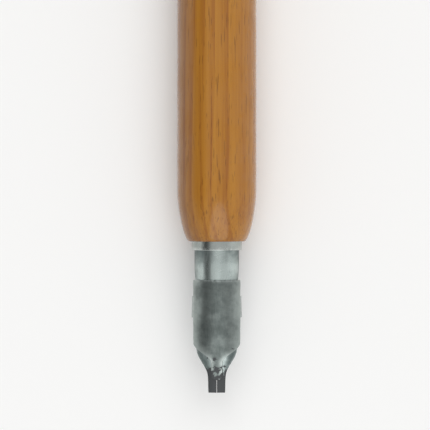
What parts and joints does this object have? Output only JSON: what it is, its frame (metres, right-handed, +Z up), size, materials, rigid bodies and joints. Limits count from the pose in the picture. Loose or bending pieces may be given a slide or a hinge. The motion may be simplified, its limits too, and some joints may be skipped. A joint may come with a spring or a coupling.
{
  "type": "dip pen",
  "caption": "Dip pen for broad-edge lettering: a varnished wooden holder with a steel ferrule, a nib that pulls out and an ink reservoir that slides off the nib.",
  "frame": {"origin": "the middle of the pen's bounding box on the table that it lies on", "axes": "+Y along the pen from the writing edge to the back end, +Z up and out of the nib's arched back"},
  "size_m": [0.009, 0.1872, 0.009],
  "materials": {
    "varnished_wood": "clear gloss varnish over straight-grained brown wood",
    "ferrule_steel": "nickel-plated rolled steel",
    "spring_steel": "bright spring steel",
    "nib_steel": "bright steel with traces of dried ink towards the writing edge",
    "reservoir_metal": "dark grey metal, smooth"
  },
  "bodies": {
    "holder": {"wooden_holder": "varnished_wood", "ferrule_tube": "ferrule_steel", "crown_clip": "spring_steel"},
    "nib": {"nib": "nib_steel"},
    "reservoir": {"ink_reservoir": "reservoir_metal"}
  },
  "joints": [
    {"name": "nib_pull", "type": "slide", "parent": "holder", "child": "nib", "axis": [0, -1, 0], "range_m": [0, 0.016]},
    {"name": "reservoir_slide", "type": "slide", "parent": "nib", "child": "reservoir", "axis": [0, -1, 0], "range_m": [0, 0.0135]}
  ]
}
